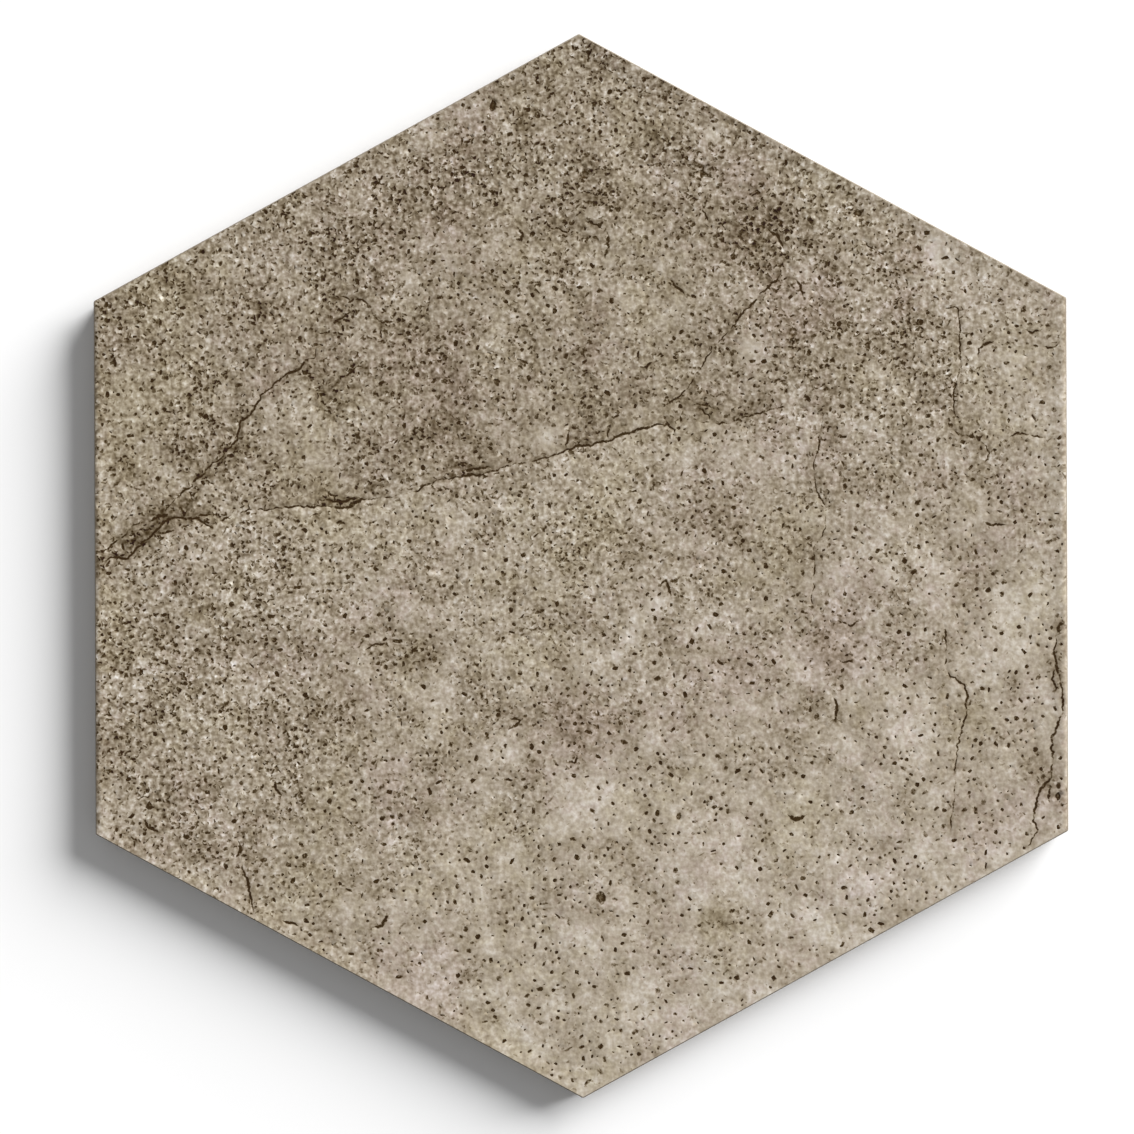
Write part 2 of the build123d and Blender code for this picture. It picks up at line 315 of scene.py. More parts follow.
# Parts of the face with more flecks and pits than the slope over it says, or with fewer: place and
# radius in the photograph's pixels, and what they add to a share from 0 to 1
BUSY_PARTS = [
    (185, 640, 110, 0.30), (250, 800, 100, 0.20), (880, 330, 110, 0.28), (560, 600, 100, 0.14),
    (200, 330, 100, -0.10), (800, 240, 80, 0.07), (950, 600, 90, 0.08), (850, 850, 100, 0.12),
    (330, 330, 100, -0.08), (570, 330, 90, -0.06),
]

GREY_LEVELS = 255.0

# Greys of the print's ramp, its darkest grey, how fast the greys rise from there, and the light that
# the matte surface mirrors whatever its colour, which is taken off
RAMP_GREYS = (0.0, 0.1, 0.22, 0.36, 0.5, 0.64, 0.78, 0.92)
DARKEST = 0.125
DARK_RISE = 0.3
SHEEN = 0.009
LEAST_LIGHT = 0.001

# Where the warm tint begins to fade towards white and to deepen towards black, and how fast
FADE_ABOVE, FADE_SLOPE = 0.58, 0.5 / 0.24
DEEPEN_BELOW, DEEPEN_SLOPE = 0.42, 0.1 / 0.3

# Patterns of the print and of the body
GRAIN_SIZE = 1.25 * MM
MOTTLE_SIZE = 3.2 * MM
FRAY_SIZE = 0.75 * MM
BODY_GRAIN_SIZE = 1.4 * MM
GRAIN_PUSH = 2.6 * MM
MOTTLE_PUSH = 3.0 * MM
STROKE_SPACING = 1.55 * MM
STROKE_RADIUS = 0.48 * MM
STROKE_GROWTH = 0.25 * MM
CREAM_SPACING = 2.0 * MM
CREAM_RADIUS = 0.9 * MM
CREAM_SHARE = 0.55
BUMP_HEIGHT = 0.04 * MM

# Soft edges of the marks: where each begins and where it is full
STROKE_EDGE = (-0.12 * MM, 0.34 * MM)
STROKE_RIM_EDGE = (-0.45 * MM, 0.05 * MM)
CREAM_EDGE = (-0.1 * MM, 0.45 * MM)
PIT_EDGE = (0.22, 0.82)
CRACK_EDGE = (0.1, 0.6)
PIT_FRAY = 1.7
CRACK_FRAY = 2.6

# Tones of the print, when white is 1: where the face is calm, and what the busy parts add
GRAIN_TONE = (0.27, 0.38)
MOTTLE_TONE = (0.17, 0.18)
CREAM_TONE = (0.02, 0.10)
STROKE_RIM_TONE = (0.02, 0.06)
STROKE_TONE = (0.15, 0.17)
STROKE_SHARE = (0.23, 0.40)
SMUDGE_STROKE_TONE = 0.14
SMUDGE_STROKE_SHARE = 0.25
CALM_STROKE_SHARE = -0.2
CALM_EVENNESS = 0.6
HOLLOW_TONE = 0.13
HOLLOW_MOTTLE = 0.2
FLOOR_TONE = 0.22
FLOOR_GRAIN = 0.5
PINK = (1.013, 0.98, 1.03, 1.0)
OLIVE = (1.0, 1.0, 0.935, 1.0)
FACE_SPECULAR = 0.18
FACE_ROUGHNESS = 0.86

# Clouds that the relief's tree lays over the print: size and strength
CLOUDS = {
    "Broad Tone": (30 * MM, 0.12),
    "Fine Tone": (9 * MM, 0.33),
    "Busyness": (18 * MM, 0.8),
    "Tint": (20 * MM, 3.4),
}

# Sizes that the relief's tree takes from the tile's sizes
TREE_SIZES = ("Wave Height", "Wave Size", "Grain Height", "Grain Size", "Pit Depth", "Crack Depth", "Seed")

# Slope of the tone to the right and up, in grey levels over half the tile's width
SLOPE_RIGHT, SLOPE_UP = 6.0, -13.0

# Tone above and below the main crack: grey levels beside it, and how soon they die away. Both end at
# one place, over some distance.
ABOVE_CRACK = (-9.0, 14 * MM)
BELOW_CRACK = (7.0, 12 * MM)
CRACK_TONE_END_PX = (860, 400)
CRACK_TONE_FADE = 20 * MM

# How dense the flecks and pits are at the centre, and what it gains to the right and up
BUSY_CENTRE, BUSY_RIGHT, BUSY_UP = 0.44, -0.30, 0.5

# How far smudges and crowds of pits darken the print, and how stains and crowds make it busy
SMUDGE_TONE = 0.09
CROWD_TONE = 0.12
CROWD_BUSY = 0.5
DARK_BUSY_LEVELS = 90.0
PALE_BUSY_LEVELS = 30.0
CALM_LEVELS = 24.0

# Smudge beside a crack: its strength, its half width, how far it is looked for, and the size and
# start of its unevenness
CRACK_SMUDGE = 0.65
CRACK_SMUDGE_REACH = 1.5 * MM
CRACK_SMUDGE_LIMIT = 6 * MM
CRACK_SMUDGE_SIZE = 4 * MM
CRACK_SMUDGE_SEED = 91

# Crack: spacing of its points, sideways swings as reach and size, its half width as a share of its
# width and how far that swings, and the sizes over which its width and its strength change. It opens
# and closes in an eighth of its length.
CRACK_STEP = 0.45 * MM
CRACK_SWINGS = ((0.35 * MM, 2.4 * MM), (0.4 * MM, 0.9 * MM))
CRACK_HALF, CRACK_HALF_SWING = 0.58, 0.28
CRACK_WIDTH_SIZE = 3.1 * MM
CRACK_FADE_SIZE = 2.6 * MM
CRACK_FADE = 1.8
CRACK_TAPER = 8

# Clear space that is kept from the sides of the tile, round cracks and round pits, and the cells of
# the chart that keeps it
CRACK_TO_SIDE = 1.0 * MM
PIT_TO_SIDE = 0.5 * MM
ROUND_CRACK = 0.25 * MM
ROUND_PIT = 0.1 * MM
BEFORE_PIT = 0.15 * MM
CHART_CELL = 0.2 * MM

# Plain points: how uneven their lattice is and how near to a side they lie, as shares of their
# spacing, and the clear space to a pit or crack
LATTICE_SHIFT = 0.2
LATTICE_TO_SIDE = 0.45
LATTICE_TO_MARK = 0.4 * MM

# Shape of a pit: shift of its corners, how ragged its rim is, the floor ring of a large pit as a
# share of its size and depth, and the corners of a small, a clear and a large pit
CORNER_SHIFT = 0.25
RAGGED = (0.72, 1.16)
FLOOR_RING = (0.66, 0.9)
SMALL_SIDES, CLEAR_SIDES, LARGE_SIDES = 6, 8, 10

# Scattered pits: their radius as a share of the middle one where it's calm and what busy parts add,
# the spread of their radius and length, how a drawn length lengthens and narrows a pit, the largest
# radius, the range of their depth, and the half length from which they get more corners
CALM_RADIUS, BUSY_RADIUS = 1.13, -0.16
RADIUS_SPREAD = 0.34
LENGTH_SPREAD = 0.85
LENGTHENING, NARROWING = 0.9, 0.5
LARGEST_RADIUS = 0.8 * MM
PIT_DEPTHS = (0.5, 1.1)
LONG_PIT = 0.5 * MM

# Random field that crowds the pits together: its start, its shares and sizes, how it sets the chance
# of a pit, and the chance where the face is calm and what the busy parts add
CROWD_SEED = 11
CROWD_FIELDS = ((0.6, 9 * MM), (0.5, 3.4 * MM))
CROWD_MIDDLE, CROWD_SWING, CROWD_LEAST = 0.45, 1.7, 0.12
CALM_PITS, BUSY_PITS = 0.6, 0.4

# How far apart the random fields of neighbouring seeds lie
WANDER_APART = 3.7

# Within what distance points are merged, or count as lying on the face, and the least slope of a
# normal that looks straight up
MERGE = 0.001 * MM
TOP_WITHIN = 0.01 * MM
LEVEL = 0.999

# How dark the print is at the rim of a pit, when its bottom is 1
RIM_SHARE = 0.65

# Faces that meet at more than this angle meet at a crisp edge, as at the rims of pits and cracks
RIM_ANGLE = math.radians(14)

# Map of the bake, from 0 to 1: its margin, the columns and rows of the sides as a start and a step, the
# scale of the sides and the back against the face, the least and greatest upward slope of a side's
# normal, and how near to the outline a side lies
MAP_MARGIN = 0.01
SIDE_COLUMNS = (0.925, 0.04)
SIDE_ROWS = (0.17, 0.33)
SIDE_SCALE = 0.6
BACK_SCALE = 0.2
SIDE_TILTS = (-0.8, 0.3)
SIDE_BAND = 2.5 * MM

# Floor: size and depth of its faint clouds, and its roughness and reflection
FLOOR_CLOUD = 60 * MM
FLOOR_FADE = 0.985
FLOOR_BUMP = 0.01 * MM
FLOOR_ROUGHNESS = 0.9
FLOOR_SPECULAR = 0.2


def on_face(px, py):
    """Place on the tile, in metres, of a pixel of the photograph."""
    right = (np.asarray(px, float) - TILE_CENTRE_PX[0]) * PIXEL
    up = (TILE_CENTRE_PX[1] - np.asarray(py, float)) * PIXEL
    turn = math.radians(TILE_TURN_DEG)
    return right * math.cos(turn) + up * math.sin(turn), up * math.cos(turn) - right * math.sin(turn)


def number(name, description, default, **limits):
    return bpy.props.FloatProperty(name=name, description=description, default=default, **limits)


def length(name, description, default):
    return number(name, description, default, unit="LENGTH", precision=5)


def colour(name, description, default):
    return bpy.props.FloatVectorProperty(
        name=name, description=description, default=default, min=0, max=1, subtype="COLOR")


class TileSizes(bpy.types.PropertyGroup):
    """Sizes of the face's relief and of its triangles."""

    pit_count: bpy.props.IntProperty(
        name="Pits", description="Small pits scattered over the face", default=6800, min=0)
    pit_radius: length("Pit Radius", "Middle radius of a small pit", 0.41 * MM)
    pit_depth: length("Pit Depth", "Depth of the deepest pits", 0.12 * MM)
    crack_depth: length("Crack Depth", "Depth of the main crack", 0.10 * MM)
    wave_height: length("Wave Height", "Depth of the broad hollows of the face", 0.25 * MM)
    wave_size: length("Wave Size", "Distance between the broad hollows", 24 * MM)
    grain_height: length("Grain Height", "Depth of the small unevenness between the pits", 0.08 * MM)
    grain_size: length("Grain Size", "Distance between the small hollows", 4 * MM)
    edge_calm: length("Calm Edge", "Width along the sides where the relief dies away", 5 * MM)
    face_spacing: length("Face Spacing", "Distance between the plain points of the face", 1.35 * MM)
    seed: bpy.props.IntProperty(
        name="Seed", description="Start of the random numbers for pits and relief", default=7)


class TileColours(bpy.types.PropertyGroup):
    """Colours of the printed face and of the fired body."""

    face_middle: number(
        "Face Tone", "Middle grey of the printed face, from 0 to 1", 0.566, min=0, max=1, subtype="FACTOR")
    warm_red: number("Red over Grey", "How far red stands over the grey of the face", 0.0450)
    warm_green: number("Green over Grey", "How far green stands over the grey of the face", -0.0055)
    warm_blue: number("Blue over Grey", "How far blue stands over the grey of the face", -0.0790)
    body: colour("Body", "Fired body on the sides and the back", (0.20, 0.165, 0.128))
    body_dust: colour("Kiln Dust", "Pale wash left on the back by the kiln", (0.27, 0.235, 0.187))


class StageLook(bpy.types.PropertyGroup):
    """Floor, light and camera."""

    floor: colour("Floor", "Colour of the floor", (0.93, 0.93, 0.93))
    floor_reach: length("Floor Reach", "Distance from the tile to the floor's edge", 12.0)
    key_strength: number("Key Light", "Strength of the soft light from the upper right", 7.8)
    key_softness: number(
        "Key Softness", "Angle that the soft light covers", math.radians(46), subtype="ANGLE")
    key_rise: number(
        "Key Rise", "Height of the soft light over the horizon", math.radians(20), subtype="ANGLE")
    key_bearing: number(
        "Key Bearing", "Direction of the soft light, from +X towards +Y", math.radians(38), subtype="ANGLE")
    fill_strength: number("Fill Light", "Strength of the even light from all round", 0.28)
    lens: number("Lens", "Focal length of the camera in millimetres", 100.0)


def socket_of(sockets, key):
    """Socket of a node by its place, its identifier or its name."""
    if isinstance(key, int):
        return sockets[key]
    for socket in sockets:
        if socket.identifier == key:
            return socket
    return sockets[key]


def add_node(tree, kind, settings=None, inputs=None, output=0):
    """Adds a node, makes its settings, sets or links its inputs, and returns one of its outputs."""
    node = tree.nodes.new(kind)
    for name, setting in (settings or {}).items():
        if name == "stops":
            set_stops(node.color_ramp, setting)
        else:
            setattr(node, name, setting)
    for key, value in (inputs or {}).items():
        socket = socket_of(node.inputs, key)
        if isinstance(value, Field):
            tree.links.new(value.socket, socket)
        else:
            socket.default_value = value
    return Field(tree, socket_of(node.outputs, output)) if len(node.outputs) else node


def set_stops(ramp, stops):
    """Gives a colour ramp its stops, each a place and a colour."""
    while len(ramp.elements) < len(stops):
        ramp.elements.new(1.0)
    for element, (place, shade) in zip(ramp.elements, stops):
        element.position = place
        element.color = (*shade, 1.0)


class Field:
    """A node's output that can stand in an expression, which adds Math nodes to its tree."""

    def __init__(self, tree, socket):
        self.tree = tree
        self.socket = socket

    def math(self, operation, first, *others):
        values = dict(enumerate((first, *others)))
        return add_node(self.tree, "ShaderNodeMath", {"operation": operation}, values)

    def __add__(self, other):
        return self.math("ADD", self, other)

    def __radd__(self, other):
        return self.math("ADD", other, self)

    def __sub__(self, other):
        return self.math("SUBTRACT", self, other)

    def __rsub__(self, other):
        return self.math("SUBTRACT", other, self)

    def __mul__(self, other):
        return self.math("MULTIPLY", self, other)

    def __rmul__(self, other):
        return self.math("MULTIPLY", other, self)

    def __truediv__(self, other):
        return self.math("DIVIDE", self, other)

    def __rtruediv__(self, other):
        return self.math("DIVIDE", other, self)

    def __pow__(self, other):
        return self.math("POWER", self, other)

    def __neg__(self):
        return self.math("MULTIPLY", self, -1.0)

    def at_least(self, other):
        return self.math("MAXIMUM", self, other)

    def at_most(self, other):
        return self.math("MINIMUM", self, other)

    def step(self, low, high):
        """0 below low, 1 above high and a smooth rise between them."""
        values = {"Value": self, "From Min": low, "From Max": high}
        return add_node(self.tree, "ShaderNodeMapRange", {"interpolation_type": "SMOOTHSTEP"}, values)


class Material:
    """A new material's tree with the patterns that its finishes are made of."""

    def __init__(self, name):
        self.material = bpy.data.materials.new(name)
        self.material.use_nodes = True
        self.tree = self.material.node_tree
        self.tree.nodes.clear()
        self.place = add_node(self.tree, "ShaderNodeTexCoord", output="Object")

    def node(self, kind, settings=None, inputs=None, output=0):
        return add_node(self.tree, kind, settings, inputs, output)

    def attribute(self, name):
        return self.node("ShaderNodeAttribute", {"attribute_name": name}, output="Fac")

    def noise(self, size, detail=2.0, roughness=0.5, flat=True, shift=0.0, stretch=(1, 1, 1)):
        """Cloudy noise about zero, with features of the size in metres, on the face or all through."""
        moved = {"Vector": self.place, "Location": (shift, -shift, shift), "Scale": stretch}
        place = self.node("ShaderNodeMapping", {"vector_type": "POINT"}, moved)
        values = {"Vector": place, "Scale": 1.0 / size, "Detail": detail, "Roughness": roughness}
        return self.node("ShaderNodeTexNoise", {"noise_dimensions": "2D" if flat else "3D"}, values) - 0.5

    def pushed(self, right, up, shift):
        """Object coordinates pushed about by two noises, which makes round spots uneven."""
        push = self.node("ShaderNodeCombineXYZ", {}, {"X": right + shift, "Y": up - shift})
        return self.node("ShaderNodeVectorMath", {"operation": "ADD"}, {0: self.place, 1: push})

    def spots(self, place, spacing, radius, share):
        """Distance in metres inside the nearest spot's rim. Share is how many cells have a spot."""
        settings = {"voronoi_dimensions": "2D", "feature": "F1"}
        values = {"Vector": place, "Scale": 1.0 / spacing}
        distance = self.node("ShaderNodeTexVoronoi", settings, values, "Distance")
        cell = Field(self.tree, distance.socket.node.outputs["Color"])
        chance = self.node("ShaderNodeSeparateColor", {}, {"Color": cell}, "Red")
        size = ((share - chance) / share).at_least(0.0) ** 0.5
        return size * radius - distance * spacing

    def mix(self, factor, first, second, blend="MIX"):
        """Colour between two colours."""
        values = {"Factor_Float": factor, "A_Color": first, "B_Color": second}
        return self.node("ShaderNodeMix", {"data_type": "RGBA", "blend_type": blend}, values, "Result_Color")

    def finish(self, base, roughness, height, bump, specular):
        """Puts the matte fired surface on the material."""
        normal = self.node("ShaderNodeBump", {}, {"Height": height, "Strength": 1.0, "Distance": bump})
        values = {"Base Color": base, "Roughness": roughness, "Specular IOR Level": specular}
        surface = self.node("ShaderNodeBsdfPrincipled", {}, {**values, "Normal": normal})
        self.node("ShaderNodeOutputMaterial", {}, {"Surface": surface})
        return self.material


def linear(value):
    """Linear light of an encoded screen value between 0 and 1."""
    value = max(value, 0.0)
    return value / 12.92 if value <= 0.04045 else ((value + 0.055) / 1.055) ** 2.4


def stone_ramp(colours):
    """Stops that turn an encoded grey into the warm stone colour."""
    offsets = (colours.warm_red, colours.warm_green, colours.warm_blue)
    stops = []
    for grey in RAMP_GREYS:
        faded = FADE_SLOPE * max(grey - FADE_ABOVE, 0.0)
        deeper = DEEPEN_SLOPE * max(DEEPEN_BELOW - grey, 0.0)
        lifted = max(grey, DARKEST + DARK_RISE * grey)
        warm = [lifted + offset * (1.0 - faded + deeper) for offset in offsets]
        stops.append((grey, tuple(max(linear(part) - SHEEN, LEAST_LIGHT) for part in warm)))
    return stops


def fired_stone(colours):
    """Material of the tile: the stone print on its face, and the bare body on its sides and back."""
    stone = Material("fired_stone")
    layers = ("tone", "busy", "calm", "smudge", "tint", "dark", "crack", "floor", "printed")
    tone, busy, calm, smudge, tint, dark, crack, floor, printed = map(stone.attribute, layers)

    def by_busyness(shares):
        return shares[0] + shares[1] * busy

    # Grain and mottle of the print, stronger where the face is busy
    grain = stone.noise(GRAIN_SIZE, detail=1.5, roughness=0.5, shift=4.9)
    mottle = stone.noise(MOTTLE_SIZE, detail=3.0, roughness=0.6, shift=3.7)
    uneven = grain * by_busyness(GRAIN_TONE) + mottle * by_busyness(MOTTLE_TONE)
    shade = colours.face_middle + tone + uneven * (1.0 - CALM_EVENNESS * calm)

    # Dark strokes with pale rims, and cream flecks
    strokes_at = stone.pushed(grain * GRAIN_PUSH, mottle * MOTTLE_PUSH, shift=0.61)
    share = by_busyness(STROKE_SHARE) + smudge * SMUDGE_STROKE_SHARE + calm * CALM_STROKE_SHARE
    radius = STROKE_RADIUS + (busy + smudge * 0.2) * STROKE_GROWTH
    strokes = stone.spots(strokes_at, STROKE_SPACING, radius, share.at_most(1.0).at_least(0.02))
    stroke = strokes.step(*STROKE_EDGE)
    stroke_rim = strokes.step(*STROKE_RIM_EDGE) - stroke
    cream_at = stone.pushed(mottle * MOTTLE_PUSH, grain * GRAIN_PUSH, shift=0.93)
    cream = stone.spots(cream_at, CREAM_SPACING, CREAM_RADIUS, CREAM_SHARE).step(*CREAM_EDGE)
    shade = shade + cream * by_busyness(CREAM_TONE) + stroke_rim * by_busyness(STROKE_RIM_TONE)
    shade = shade - stroke * (by_busyness(STROKE_TONE) + SMUDGE_STROKE_TONE * smudge)

    # Pits and cracks, with ragged rims
    fray = stone.noise(FRAY_SIZE, detail=2.0, roughness=0.6, shift=8.3)
    pit_mask = (dark * (1.0 + fray * PIT_FRAY)).step(*PIT_EDGE)
    crack_mask = (crack * (1.0 + fray * CRACK_FRAY)).step(*CRACK_EDGE)
    hollow = pit_mask.at_least(crack_mask)
    hollow_shade = HOLLOW_TONE + mottle * HOLLOW_MOTTLE + floor * (FLOOR_TONE + grain * FLOOR_GRAIN)
    shade = shade + (hollow_shade - shade) * hollow

    # Colour of the print, a little pinker or more olive from place to place
    print_colour = stone.node("ShaderNodeValToRGB", {"stops": stone_ramp(colours)}, {"Fac": shade}, "Color")
    tint = tint + mottle * 2.0 - grain * 1.2
    print_colour = stone.mix(tint.step(0.0, 1.0), print_colour, PINK, "MULTIPLY")
    print_colour = stone.mix((-tint).step(0.0, 1.0), print_colour, OLIVE, "MULTIPLY")

    # Bare body, with faint drag lines along the ground sides
    drag = stone.noise(BODY_GRAIN_SIZE, detail=2.0, roughness=0.6, flat=False, shift=11.5, stretch=(1, 1, 3))
    worn = (0.5 + drag * 1.4).step(0.0, 1.0)
    body_colour = stone.mix(worn, (*colours.body, 1.0), (*colours.body_dust, 1.0))

    base = stone.mix(printed, body_colour, print_colour)
    roughness = FACE_ROUGHNESS + mottle * 0.2 + hollow * 0.1
    return stone.finish(base, roughness, grain, BUMP_HEIGHT, FACE_SPECULAR)


class Outline:
    """Six straight sides of the face, from its corners in order."""

    def __init__(self, corners):
        self.sides = []
        for start, end in zip(corners, corners[1:] + corners[:1]):
            along = (end - start).normalized()
            self.sides.append((along.y, -along.x, along.y * start.x - along.x * start.y))

    def depth(self, x, y):
        """Distance from places inside the face to the nearest side."""
        return np.min([reach - (nx * x + ny * y) for nx, ny, reach in self.sides], axis=0)


class Chart:
    """Coarse chart of the face that keeps its pits, cracks and plain points apart."""

    def __init__(self, cell):
        self.cell = cell
        spans = [math.ceil((high - low) / cell) for low, high in zip(TILE_LOW.xy, TILE_HIGH.xy)]
        self.taken = np.zeros(spans, bool)

    def disc(self, x, y, reach):
        """Part of the chart round a place, and which of its cells are within reach."""
        column = (x - TILE_LOW.x) / self.cell
        row = (y - TILE_LOW.y) / self.cell
        span = reach / self.cell
        left, right = max(int(column - span), 0), int(column + span) + 2
        low, high = max(int(row - span), 0), int(row + span) + 2
        part = self.taken[left:right, low:high]
        columns = np.arange(left, left + part.shape[0])[:, None] + 0.5
        rows = np.arange(low, low + part.shape[1])[None, :] + 0.5
        return part, (columns - column) ** 2 + (rows - row) ** 2 <= span ** 2

    def free(self, x, y, reach):
        part, near = self.disc(x, y, reach)
        return not (part & near).any()

    def take(self, x, y, reach):
        part, near = self.disc(x, y, reach)
        part |= near


class FacePlan:
    """Points of the face before they are joined into triangles, with the pit or crack each belongs to."""

    def __init__(self, outline_points, outline, sizes):
        self.outline = outline
        self.sizes = sizes
        self.points = [(p.x, p.y) for p in outline_points]
        self.rim_count = len(self.points)
        self.pit = [0.0] * self.rim_count
        self.crack = [0.0] * self.rim_count
        self.floor = [0.0] * self.rim_count
        self.crack_line = []
        self.chart = Chart(CHART_CELL)
        self.random = random.Random(sizes.seed)

    def add(self, x, y, pit=0.0, crack=0.0, floor=0.0):
        self.points.append((x, y))
        self.pit.append(pit)
        self.crack.append(crack)
        self.floor.append(floor)

    def lay_crack(self, route, width, strength):
        """Three rows of points along a crack: its two rims and its bottom line."""
        seed = self.sizes.seed
        row = []
        for x, y, nx, ny, share in walk(route, CRACK_STEP):
            swing = sum(reach * wander(x, y, size, seed + i) for i, (reach, size) in enumerate(CRACK_SWINGS))
            open_share = min(1.0, CRACK_TAPER * share, CRACK_TAPER * (1 - share))
            wide = CRACK_HALF + CRACK_HALF_SWING * wander(x, y, CRACK_WIDTH_SIZE, seed + 2)
            half = width * wide * (0.5 + 0.5 * open_share)
            uneven = (CRACK_FADE - strength) * wander(x, y, CRACK_FADE_SIZE, seed + 3)
            deep = min(max((strength + uneven) * (0.6 + 0.4 * open_share), 0.0), 1.0)
            row.append((x + nx * swing, y + ny * swing, nx * half, ny * half, deep))
        laid = []
        for x, y, across, up, deep in row:
            if self.outline.depth(x, y) > CRACK_TO_SIDE and self.chart.free(x, y, CRACK_STEP):
                self.add(x + across, y + up)
                self.add(x, y, crack=deep)
                self.add(x - across, y - up)
                laid.append((x, y))
                self.crack_line.append((x, y, deep))
        for x, y in laid:
            self.chart.take(x, y, width / 2 + ROUND_CRACK)

    def lay_pit(self, x, y, length, width, turn, sides, deep, large=False):
        """One pit: an uneven rim, and a bottom that is a point or, in a large pit, a smaller ring."""
        reach = max(length, width) / 2
        if self.outline.depth(x, y) < reach + PIT_TO_SIDE or not self.chart.free(x, y, reach + BEFORE_PIT):
            return False
        for size, level in [(1.0, 0.0), FLOOR_RING] if large else [(1.0, 0.0)]:
            for i in range(sides):
                angle = 2 * math.pi * (i + self.random.uniform(-CORNER_SHIFT, CORNER_SHIFT)) / sides
                ragged = size * self.random.uniform(*RAGGED)
                along = ragged * length / 2 * math.cos(angle)
                across = ragged * width / 2 * math.sin(angle)
                right = along * math.cos(turn) - across * math.sin(turn)
                up = along * math.sin(turn) + across * math.cos(turn)
                self.add(x + right, y + up, pit=level * deep)
        self.add(x, y, pit=deep, floor=1.0 if large else 0.0)
        self.chart.take(x, y, reach + ROUND_PIT)
        return True

    def lay_seen_pits(self):
        """The pits and strokes that are laid where they are seen."""
        for (px, py), length, width, turn, deep in LARGE_PITS:
            x, y = on_face(px, py)
            self.lay_pit(x, y, length * MM, width * MM, math.radians(turn), LARGE_SIDES, deep, large=True)
        for (px, py), length, width, turn in CLEAR_PITS:
            x, y = on_face(px, py)
            self.lay_pit(x, y, length * MM, width * MM, math.radians(turn), CLEAR_SIDES, 1.0)
        for start_px, start_py, end_px, end_py, width in STROKES:
            x, y = on_face((start_px, end_px), (start_py, end_py))
            length = math.hypot(x[1] - x[0], y[1] - y[0]) + width * MM
            turn = math.atan2(y[1] - y[0], x[1] - x[0])
            self.lay_pit(x.mean(), y.mean(), length, width * MM, turn, LARGE_SIDES, 1.0)

    def scatter_pits(self):
        """The small pits at random, closer in the busy parts."""
        draw = self.random
        laid = 0
        while laid < self.sizes.pit_count:
            x = draw.uniform(TILE_LOW.x, TILE_HIGH.x)
            y = draw.uniform(TILE_LOW.y, TILE_HIGH.y)
            chance = draw.random()
            busy = busy_share(x, y)
            radius = self.sizes.pit_radius * (CALM_RADIUS + BUSY_RADIUS * busy)
            radius = min(radius * math.exp(draw.gauss(0.0, RADIUS_SPREAD)), LARGEST_RADIUS)
            longer = 1.0 + abs(draw.gauss(0.0, LENGTH_SPREAD))
            turn = draw.uniform(0.0, math.pi)
            deep = draw.uniform(*PIT_DEPTHS)
            crowd = min(max(CROWD_MIDDLE + CROWD_SWING * crowding(x, y), CROWD_LEAST), 1.0)
            if chance > crowd * (CALM_PITS + BUSY_PITS * busy):
                continue
            sides = SMALL_SIDES if radius * longer < LONG_PIT else CLEAR_SIDES
            length = 2 * radius * longer ** LENGTHENING
            width = 2 * radius / longer ** NARROWING
            laid += self.lay_pit(x, y, length, width, turn, sides, deep)

    def lay_plain_points(self):
        """Uneven lattice of points over all that is left."""
        spacing = self.sizes.face_spacing
        rise = spacing * math.sqrt(3) / 2
        for row in range(math.ceil((TILE_HIGH.y - TILE_LOW.y) / rise)):
            for column in range(math.ceil((TILE_HIGH.x - TILE_LOW.x) / spacing)):
                right = column + row % 2 / 2 + self.random.uniform(-LATTICE_SHIFT, LATTICE_SHIFT)
                x = TILE_LOW.x + right * spacing
                y = TILE_LOW.y + (row + self.random.uniform(-LATTICE_SHIFT, LATTICE_SHIFT)) * rise
                inside = self.outline.depth(x, y) > LATTICE_TO_SIDE * spacing
                if inside and self.chart.free(x, y, LATTICE_TO_MARK):
                    self.add(x, y)

    def triangles(self):
        """Places and triangles of the face, in the order and sense that the mesh takes them."""
        scaled = [Vector((x / MM, y / MM)) for x, y in self.points]
        rim = [(i, (i + 1) % self.rim_count) for i in range(self.rim_count)]
        inside_only = 1
        merge_within = 1e-4
        places, _, faces, origins, _, _ = delaunay_2d_cdt(scaled, rim, [], inside_only, merge_within, True)
        return places, faces, origins


def walk(route, step):
    """Places along a route, evenly spaced, with the normal there and the share of the way gone."""
    x, y = on_face([p[0] for p in route], [p[1] for p in route])
    gone = np.concatenate([[0.0], np.cumsum(np.hypot(np.diff(x), np.diff(y)))])
    marks = np.arange(0.0, gone[-1], step)
    xs, ys = np.interp(marks, gone, x), np.interp(marks, gone, y)
    dx, dy = np.gradient(xs), np.gradient(ys)
    norm = np.hypot(dx, dy)
    return list(zip(xs, ys, -dy / norm, dx / norm, marks / gone[-1]))


def wander(x, y, size, seed):
    """Smooth number between about -1 and 1 that changes over the face."""
    return noise.noise(Vector((x / size, y / size, seed * WANDER_APART)))


def crowding(x, y):
    """How far pits crowd together at a place of the face, between about -1 and 1."""
    return sum(share * wander(x, y, size, CROWD_SEED) for share, size in CROWD_FIELDS)


def stain_sum(stains, x, y):
    """Strength of a list of soft stains at places of the face."""
    total = np.zeros_like(x)
    for px, py, radius, strength in stains:
        cx, cy = on_face(px, py)
        total += strength * np.exp(-((x - cx) ** 2 + (y - cy) ** 2) / (2 * (radius * PIXEL) ** 2))
    return total


def spot_sum(x, y):
    """Grey levels that the pale spots add at places of the face, even inside each spot."""
    total = np.zeros_like(x)
    for px, py, radius, strength in PALE_SPOTS:
        cx, cy = on_face(px, py)
        total += strength * np.exp(-((((x - cx) ** 2 + (y - cy) ** 2) / (radius * PIXEL) ** 2) ** 2))
    return total


